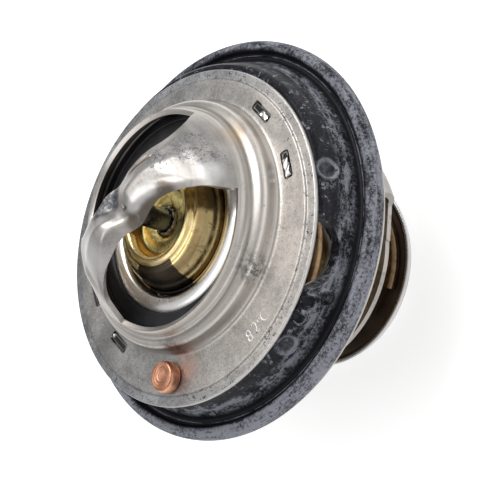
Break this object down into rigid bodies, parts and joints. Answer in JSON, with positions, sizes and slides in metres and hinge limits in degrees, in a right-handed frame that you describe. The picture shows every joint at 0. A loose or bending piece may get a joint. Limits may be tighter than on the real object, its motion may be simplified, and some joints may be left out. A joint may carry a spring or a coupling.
{
  "type": "engine thermostat",
  "caption": "Bridge-type wax thermostat with a pressed flange, moulded seal ring, jiggle pin, cage, main valve and rear bypass disc.",
  "frame": {"origin": "on the axis of the seal ring, at the rear face of the bypass disc", "axes": "+Z along the valve axis from the bypass disc to the bridge, X along the bridge and through both legs of the cage"},
  "size_m": [0.0812, 0.0812, 0.0639],
  "materials": {
    "stainless_steel": "brushed, lightly speckled",
    "polished_steel": "polished",
    "hardened_steel": "ground, dark",
    "spring_steel": "drawn, golden-brown heat tint",
    "seal_rubber": "moulded, dusty",
    "valve_rubber": "moulded, smooth",
    "sleeve_rubber": "moulded",
    "brass": "drawn, worn bright",
    "gland_bronze": "dark, greasy",
    "copper": "turned copper",
    "wax": "copper-filled wax, hidden"
  },
  "bodies": {
    "frame": {"bridge_flange": "stainless_steel", "piston": "hardened_steel", "seal_carrier": "stainless_steel", "seal_ring": "seal_rubber", "cage": "stainless_steel"},
    "valve": {"capsule_cup": "brass", "capsule_cover": "brass", "piston_gland": "gland_bronze", "piston_sleeve": "sleeve_rubber", "wax_filling": "wax", "valve_plate": "polished_steel", "valve_rubber": "valve_rubber", "spring_seat": "stainless_steel", "main_spring": "spring_steel", "bypass_spring": "spring_steel", "bypass_stem": "hardened_steel", "stem_clip": "spring_steel"},
    "bypass": {"bypass_disc": "stainless_steel"},
    "jiggle": {"jiggle_pin": "copper", "jiggle_bob": "copper"}
  },
  "joints": [
    {"name": "valve_slide", "type": "slide", "parent": "frame", "child": "valve", "axis": [0, 0, -1], "range_m": [0, 0.0085], "stiffness_N_per_m": 8000, "springref_m": -0.008, "deforming": ["main_spring"]},
    {"name": "bypass_slide", "type": "slide", "parent": "valve", "child": "bypass", "axis": [0, 0, 1], "range_m": [0, 0.003], "stiffness_N_per_m": 2000, "springref_m": -0.006, "deforming": ["bypass_spring"]},
    {"name": "jiggle_slide", "type": "slide", "parent": "frame", "child": "jiggle", "axis": [0, 0, 1], "range_m": [0, 0.0015]}
  ]
}
